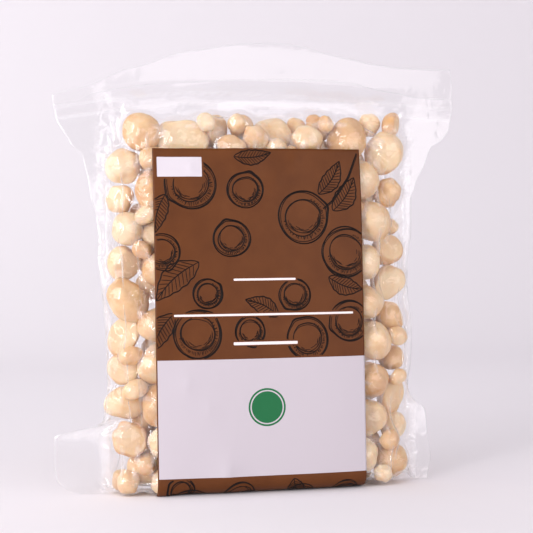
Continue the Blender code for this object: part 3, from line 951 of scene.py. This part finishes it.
def nut_half(centre, radius, turned):
    """An opened nut: a double shell ring, the kernel's ring inside, and hatching in the shade."""
    centre = np.array(centre, float)
    lines = [(ring_line(centre, radius, turned, 0.10, 0.02 * radius), 0.42)]
    lines.append((ring_line(centre, radius * 0.93, turned, 0.06, 0.025 * radius), 0.26))
    lines.append((ring_line(centre, radius * 0.98, turned, 0.08, 0.03 * radius), 0.3))
    kernel = centre + ink.uniform(-0.3, 0.3, 2)
    lines.append((ring_line(kernel, radius * 0.70, turned, 0.04, 0.02 * radius), 0.36))
    lines.append((ring_line(centre, radius * 0.66, turned, 0.03, 0.03 * radius), 0.22))
    for angle in np.arange(0, 2 * np.pi, 0.09):
        shade = 0.5 + 0.5 * np.cos(angle - 0.9)
        reach = np.array([0.72, 0.74 + 0.17 * shade * ink.uniform(0.5, 1.0)]) * radius
        bent = angle + np.array([0, ink.uniform(-0.08, 0.08)])
        if shade > 0.25:
            lines.append((centre + reach[:, None] * np.stack([np.cos(bent), np.sin(bent)], axis=1), 0.2))
    for angle in np.arange(0.0, 2.8, 0.11):
        span = np.linspace(-0.2, 0.2, 8) + angle
        reach = radius * (0.62 - 0.16 * ink.uniform() ** 2)
        lines.append((centre + reach * np.stack([np.cos(span), np.sin(span)], axis=1), 0.2))
    return lines


def leaf(base, tip, width):
    """A pointed leaf: two bowed sides, a midrib, and veins that run forwards to the sides."""
    base, tip = np.array(base, float), np.array(tip, float)
    along, length = tip - base, np.linalg.norm(tip - base)
    side = np.array([-along[1], along[0]]) / length
    t = np.linspace(0, 1, 40)
    bow = width * np.sin(np.pi * t ** 0.85) ** 0.9
    rib = base + t[:, None] * along + (0.08 * length * np.sin(np.pi * t))[:, None] * side
    lines = [(rib, 0.34)]
    for hand in (-1, 1):
        edge = rib + hand * (bow * (1 + 0.05 * np.sin(t * 34)))[:, None] * side
        lines.append((edge, 0.40))
        for place in np.arange(4, 36, 3):
            reach = min(place + 5, 39)
            lines.append((np.stack([rib[place], 0.12 * rib[reach] + 0.88 * edge[reach]]), 0.22))
    return lines


def twig(points):
    """A short double-lined stem through a few places."""
    line = np.array(points, float)
    t, fine = np.linspace(0, 1, len(line)), np.linspace(0, 1, 30)
    line = np.stack([np.interp(fine, t, line[:, 0]), np.interp(fine, t, line[:, 1])], axis=1)
    return [(line, 0.5), (line + np.array([0.5, 0.4]), 0.25)]


MOTIFS = [
    nut_half((-7, 20), 8.6, -1.3), nut_half((-33, 17), 12.0, 2.6), nut_half((21, 33), 12.4, -0.4),
    nut_half((-14, 43), 8.8, -1.9), nut_half((42, 50), 12.0, 0.4), nut_half((-47, 49), 8.5, 1.2),
    nut_half((16, 70), 7.6, 2.2), nut_half((-26, 69), 7.0, -0.6), nut_half((43, 83), 9.8, 2.8),
    nut_half((-31, 88), 11.4, -0.9), nut_half((22, 91), 10.2, -2.2), nut_half((-6, 87), 7.2, 1.3),
    leaf((36, 30), (47, 14), 5.0), leaf((29, 22), (40, 6), 4.2), leaf((-45, 22), (-50, 40), 4.6),
    leaf((-12, 4), (6, 2), 3.6), leaf((-30, 54), (-50, 72), 6.0), leaf((-42, 78), (-52, 96), 5.0),
    leaf((33, 62), (50, 68), 4.4), leaf((8, 80), (-8, 72), 4.0),
    twig([(49, 2), (44, 14), (36, 25), (31, 29)]),
]
BELOW_PANEL = PANEL_TO + np.array([8.0, 14.0, 22.0, 36.0, 50.0, 66.0, 80.0, 94.0])
for number, down in enumerate(BELOW_PANEL):
    for across in (-40, -14, 12, 38):
        shift = 7.0 * (number % 2) + ink.uniform(-3, 3)
        centre = across + shift
        if (number + across // 2) % 3:
            place = (centre, down + ink.uniform(-3, 3))
            MOTIFS.append(nut_half(place, ink.uniform(6, 9), ink.uniform(0, 6)))
        else:
            MOTIFS.append(leaf((centre, down - 6), (centre + ink.uniform(4, 12), down + 8), 4.0))
strokes = [part for motif in MOTIFS for line, width in motif for part in ribbons(line, width)]
drawing = ribbon_mesh("label_drawing", strokes)
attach(drawing, "root")
print("drawing", len(strokes), "strokes,", len(drawing.data.polygons), "faces")

# %% [markdown]
# ## Finish: nut flesh
# Macadamia flesh is dense, oily and a little translucent, with a skin left dull by drying and
# cracking. To the eye it is cream to gold, in slow patches, and paler where a chip bares the inside.
# Light enters it and comes out again a few millimetres away, which softens every shadow's edge.

# %% Nut flesh
FLESH_PATCH, FLESH_PORE = 7.0, 1.1  # mm across; real pores are finer, but these can be seen
PALE_FLESH, MIDDLE_FLESH, GOLDEN_FLESH, CUT_FLESH = "#efdbba", "#e3be8d", "#cd9a63", "#eed8b0"
TINT_SHARE, PATCH_SHARE, CUT_SHARE = 0.36, 0.75, 0.45


def nut_material():
    """Dried macadamia flesh: patches of a noise plus each kernel's own tint, read through a ramp."""
    made, tree, output = new_material("macadamia_flesh")
    place = add_node(tree, "ShaderNodeTexCoord").outputs["Object"]
    tint = add_node(tree, "ShaderNodeAttribute", attribute_name="tint").outputs["Fac"]
    chip = add_node(tree, "ShaderNodeAttribute", attribute_name="chip").outputs["Fac"]
    patches = add_node(tree, "ShaderNodeTexNoise", {
        "Vector": place, "Scale": 1000 / FLESH_PATCH, "Detail": 3.0, "Roughness": 0.6})
    fine = add_node(tree, "ShaderNodeTexNoise", {"Vector": place, "Scale": 1000 / FLESH_PORE, "Detail": 3.0})
    mixed = add_node(tree, "ShaderNodeMath", {0: patches.outputs["Fac"], 1: PATCH_SHARE}, operation="MULTIPLY")
    tone = add_node(tree, "ShaderNodeMath", {
        0: tint, 1: TINT_SHARE, 2: mixed.outputs[0]}, operation="MULTIPLY_ADD")
    ramp = add_node(tree, "ShaderNodeValToRGB", {"Fac": tone.outputs[0]})
    stops = ramp.color_ramp.elements
    stops[0].position, stops[0].color = 0.25, linear(PALE_FLESH)
    stops[1].position, stops[1].color = 0.85, linear(GOLDEN_FLESH)
    middle_stop = stops.new(0.55)
    middle_stop.color = linear(MIDDLE_FLESH)
    share = add_node(tree, "ShaderNodeMath", {0: chip, 1: CUT_SHARE}, operation="MULTIPLY")
    colour = add_node(tree, "ShaderNodeMix", {
        "Factor": share.outputs[0], "A": ramp.outputs["Color"], "B": linear(CUT_FLESH)}, data_type="RGBA")
    bump = add_node(tree, "ShaderNodeBump", {
        "Height": fine.outputs["Fac"], "Strength": 0.25, "Distance": 0.0004})
    shader = add_node(tree, "ShaderNodeBsdfPrincipled", {
        "Base Color": colour.outputs["Result"], "Normal": bump.outputs["Normal"], "Roughness": 0.55,
        "IOR": 1.46, "Subsurface Weight": 0.35, "Subsurface Radius": (1.0, 0.55, 0.25),
        "Subsurface Scale": 0.004,
    })
    tree.links.new(shader.outputs[0], output.inputs["Surface"])
    return made


# %% [markdown]
# ## Finish: clear laminated film
# Vacuum pouches are cast nylon laminated to polyethylene: glossy, colourless, and slightly milky where
# they are folded or welded. Glass with refraction would bend what lies behind, which a sheet this
# thin doesn't do. So the film is a mix: mostly see-through, with a mirror share that grows towards a
# slant, and a trace of white in the creases, at the welds and along the cut edges. That white is partly
# the film's real milkiness and partly painted highlight, standing in for the glints that crowd in the
# folds and the glow of the edges.

# %% Film
FILM_WRINKLE = 7.0  # mm from one fine ridge to the next
HEAD_ON_SHINE, SLANT_SHINE, SLANT_POWER = 0.078, 0.65, 5.0
# Painted highlight: white mixed into the film along its folds, welds and cut edges, partly real milkiness and
# partly standing in for glints and edge glow.
CREASE_MILK_AND_GLINT, PLAIN_MILK = 0.11, 0.004


def film_material():
    """Clear film: shine = HEAD_ON_SHINE + SLANT_SHINE * facing ** SLANT_POWER, on the near side only.

    Only the face that looks at the viewer shines, since the sheet is thinner than its reflections.
    """
    made, tree, output = new_material("clear_laminate_film")
    place = add_node(tree, "ShaderNodeTexCoord").outputs["Object"]
    ridges = add_node(tree, "ShaderNodeTexNoise", {
        "Vector": place, "Scale": 1000 / FILM_WRINKLE, "Detail": 2.5, "Distortion": 1.0},
        noise_type="RIDGED_MULTIFRACTAL")
    drawn = add_node(tree, "ShaderNodeAttribute", attribute_name="drawn").outputs["Fac"]
    bump = add_node(tree, "ShaderNodeBump", {
        "Height": ridges.outputs["Fac"], "Strength": drawn, "Distance": 0.0015})
    clear = add_node(tree, "ShaderNodeBsdfTransparent", {"Color": (0.995, 0.995, 0.995, 1)})
    gloss = add_node(tree, "ShaderNodeBsdfGlossy", {
        "Color": (1, 1, 1, 1), "Roughness": 0.13, "Normal": bump.outputs["Normal"]})
    facing = add_node(tree, "ShaderNodeLayerWeight", {"Blend": 0.5}).outputs["Facing"]
    slant = add_node(tree, "ShaderNodeMath", {0: facing, 1: SLANT_POWER}, operation="POWER")
    share = add_node(tree, "ShaderNodeMath", {
        0: slant.outputs[0], 1: SLANT_SHINE, 2: HEAD_ON_SHINE}, operation="MULTIPLY_ADD")
    behind = add_node(tree, "ShaderNodeNewGeometry").outputs["Backfacing"]
    front = add_node(tree, "ShaderNodeMath", {0: 1.0, 1: behind}, operation="SUBTRACT")
    shown = add_node(tree, "ShaderNodeMath", {0: share.outputs[0], 1: front.outputs[0]}, operation="MULTIPLY")
    film = add_node(tree, "ShaderNodeMixShader", {
        0: shown.outputs[0], 1: clear.outputs[0], 2: gloss.outputs[0]})
    # Painted highlight: the fold attribute mixes in white diffuse, partly the film's real milkiness and partly
    # standing in for glints and the glow of cut edges.
    crease_and_glint = add_node(tree, "ShaderNodeAttribute", attribute_name="crease_and_glint").outputs["Fac"]
    milk_and_painted_glint = add_node(tree, "ShaderNodeMath", {
        0: crease_and_glint, 1: CREASE_MILK_AND_GLINT, 2: PLAIN_MILK}, operation="MULTIPLY_ADD")
    white_milk_and_glint = add_node(tree, "ShaderNodeBsdfDiffuse", {"Color": (0.95, 0.94, 0.95, 1)})
    both = add_node(tree, "ShaderNodeMixShader", {0: milk_and_painted_glint.outputs[0], 1: film.outputs[0], 2: white_milk_and_glint.outputs[0]})
    tree.links.new(both.outputs[0], output.inputs["Surface"])
    return made


# %% [markdown]
# ## Finish: coated label paper
# The label is white clay-coated paper, printed all over in two warm browns and left near-white in the
# panel, the patch and the rules. The coating gives it a low, broad sheen and hides the fibres but for
# a fine grain. The print is worked out from the label's own millimetres, so its edges stay sharp.

# %% Label paper
PRINT_PATCH, PAPER_GRAIN = 14.0, 0.5  # mm
DARK_BROWN, LIGHT_BROWN = "#52290a", "#6d3d18"


def inside_box(tree, across, down, box, corner):
    """1 inside a box with rounded corners, in label millimetres, and 0 outside.

    The distance is length(max(|p - centre| - half + corner, 0)), compared with the corner's radius.
    """
    left, right, top, bottom = box
    excess = []
    for value, low, high in ((across, left, right), (down, top, bottom)):
        centre, half = (low + high) / 2, (high - low) / 2
        offset = add_node(tree, "ShaderNodeMath", {0: value, 1: centre}, operation="SUBTRACT")
        size = add_node(tree, "ShaderNodeMath", {0: offset.outputs[0]}, operation="ABSOLUTE")
        over = add_node(tree, "ShaderNodeMath", {0: size.outputs[0], 1: half - corner}, operation="SUBTRACT")
        kept = add_node(tree, "ShaderNodeMath", {0: over.outputs[0], 1: 0.0}, operation="MAXIMUM")
        excess.append(kept.outputs[0])
    pair = add_node(tree, "ShaderNodeCombineXYZ", {"X": excess[0], "Y": excess[1]})
    distance = add_node(tree, "ShaderNodeVectorMath", {0: pair.outputs[0]}, operation="LENGTH")
    inside = add_node(tree, "ShaderNodeMath", {0: distance.outputs["Value"], 1: corner}, operation="LESS_THAN")
    return inside.outputs[0]


def paper_material():
    """Coated label paper: mottled brown, with each printed box laid over it in turn."""
    made, tree, output = new_material("coated_label_paper")
    across = add_node(tree, "ShaderNodeAttribute", attribute_name="label_across").outputs["Fac"]
    down = add_node(tree, "ShaderNodeAttribute", attribute_name="label_down").outputs["Fac"]
    place = add_node(tree, "ShaderNodeTexCoord").outputs["Object"]
    tone = add_node(tree, "ShaderNodeTexNoise", {"Vector": place, "Scale": 1000 / PRINT_PATCH, "Detail": 4.0})
    printed = add_node(tree, "ShaderNodeMix", {
        "Factor": tone.outputs["Fac"], "A": linear(DARK_BROWN), "B": linear(LIGHT_BROWN)}, data_type="RGBA")
    for *box, corner, shade in PRINTED:
        mask = inside_box(tree, across, down, box, corner)
        printed = add_node(tree, "ShaderNodeMix", {
            "Factor": mask, "A": printed.outputs["Result"], "B": linear(shade)}, data_type="RGBA")
    grain = add_node(tree, "ShaderNodeTexNoise", {"Vector": place, "Scale": 1000 / PAPER_GRAIN, "Detail": 2.0})
    bump = add_node(tree, "ShaderNodeBump", {
        "Height": grain.outputs["Fac"], "Strength": 0.12, "Distance": 0.0001})
    shader = add_node(tree, "ShaderNodeBsdfPrincipled", {
        "Base Color": printed.outputs["Result"], "Normal": bump.outputs["Normal"], "Roughness": 0.45,
        "Specular IOR Level": 0.22,
    })
    tree.links.new(shader.outputs[0], output.inputs["Surface"])
    return made


# %% [markdown]
# ## Finish: ink and backdrop paper
# Offset ink dries to a thin matt layer that is never quite even. Uncoated backdrop paper is dull and
# nearly white. Both are one plain surface with two near shades in soft patches.

# %% Plain surfaces
def plain_material(name, colour, second, patch, roughness, shine=0.5):
    """A plain finish: two near shades in soft patches of a given size in millimetres."""
    made, tree, output = new_material(name)
    place = add_node(tree, "ShaderNodeTexCoord").outputs["Object"]
    patches = add_node(tree, "ShaderNodeTexNoise", {"Vector": place, "Scale": 1000 / patch, "Detail": 2.0})
    shade = add_node(tree, "ShaderNodeMix", {
        "Factor": patches.outputs["Fac"], "A": linear(colour), "B": linear(second)}, data_type="RGBA")
    shader = add_node(tree, "ShaderNodeBsdfPrincipled", {
        "Base Color": shade.outputs["Result"], "Roughness": roughness, "Specular IOR Level": shine,
    })
    tree.links.new(shader.outputs[0], output.inputs["Surface"])
    return made


# %% Give each piece its finish
nut_flesh = nut_material()
film_clear = film_material()
paper = paper_material()
ink_black = plain_material("printing_ink", "#120a07", "#1d120d", 3.0, 0.5, 0.15)
for piece in kernel_objects:
    piece.data.materials.append(nut_flesh)
for name in ("film_front_web", "film_back_web"):
    bpy.data.objects[name].data.materials.append(film_clear)
label.data.materials.append(paper)
drawing.data.materials.append(ink_black)
print(len(bpy.data.materials), "materials:", ", ".join(sorted(m.name for m in bpy.data.materials)))

# %% [markdown]
# ## The studio
# The pack stands on a pale seamless sweep. A large soft light from the left shapes the kernels, a
# narrow strip beside it draws thin glints on the film, a weaker light fills from the right, and one
# more brightens the sweep behind. A dark pack would need brighter lights. This one is nearly white
# all round, so the world gives most of the light and the lamps only shape it.

# %% Stage and lights
def sweep():
    """A seamless backdrop: a floor that turns up behind in a quarter circle of 0.5 m."""
    radius, back, front, high, half = 500.0, 700.0, -9000.0, 2600.0, 6000.0
    turn = np.linspace(0, np.pi / 2, 25)
    bend = np.stack([back + radius * np.sin(turn), radius * (1 - np.cos(turn))], axis=1)
    line = np.concatenate([[(front, 0.0)], bend, [(back + radius, high)]])
    across = np.array([-half, half])
    grid = np.zeros((len(line), 2, 3))
    grid[..., 0] = across[None]
    grid[..., 1], grid[..., 2] = line[:, :1], line[:, 1:]
    made = mesh_from_arrays("backdrop", grid, grid_faces(len(line), 2))
    made.data.materials.append(plain_material("paper_backdrop", "#f1eef1", "#efecef", 400.0, 0.9))
    return made


def area_light(name, at, to, size, power, colour):
    """A soft light at one place, aimed at another: places in millimetres, sizes in metres."""
    data = bpy.data.lights.new(name, "AREA")
    data.shape = "RECTANGLE"
    data.size, data.size_y = size
    data.energy = power
    data.color = linear(colour)[:3]
    made = bpy.data.objects.new(name, data)
    way = Vector(to) - Vector(at)
    turned = way.to_track_quat("-Z", "Y").to_matrix().to_4x4()
    made.matrix_world = Matrix.Translation(Vector(at) * MM) @ turned
    bpy.context.scene.collection.objects.link(made)
    return made


sweep()
area_light("key", (-1100, -700, 520), (0, 0, 90), (0.9, 1.1), 8.9, "#fffaff")
area_light("strip", (-900, -900, 420), (0, 0, 90), (0.09, 1.0), 3.8, "#ffffff")
area_light("fill", (760, -1250, 330), (0, 0, 90), (1.5, 1.1), 7.2, "#fff8fa")
area_light("wall", (-1500, 200, 800), (-350, 1200, 150), (1.0, 1.0), 7, "#fcfffc")
world = bpy.data.worlds.new("studio")
world.use_nodes = True
world.node_tree.nodes["Background"].inputs[0].default_value = linear("#f4eff5")
world.node_tree.nodes["Background"].inputs[1].default_value = 0.69
bpy.context.scene.world = world
bpy.context.scene.view_settings.view_transform = "Standard"
bpy.context.scene.cycles.transparent_max_bounces = 32
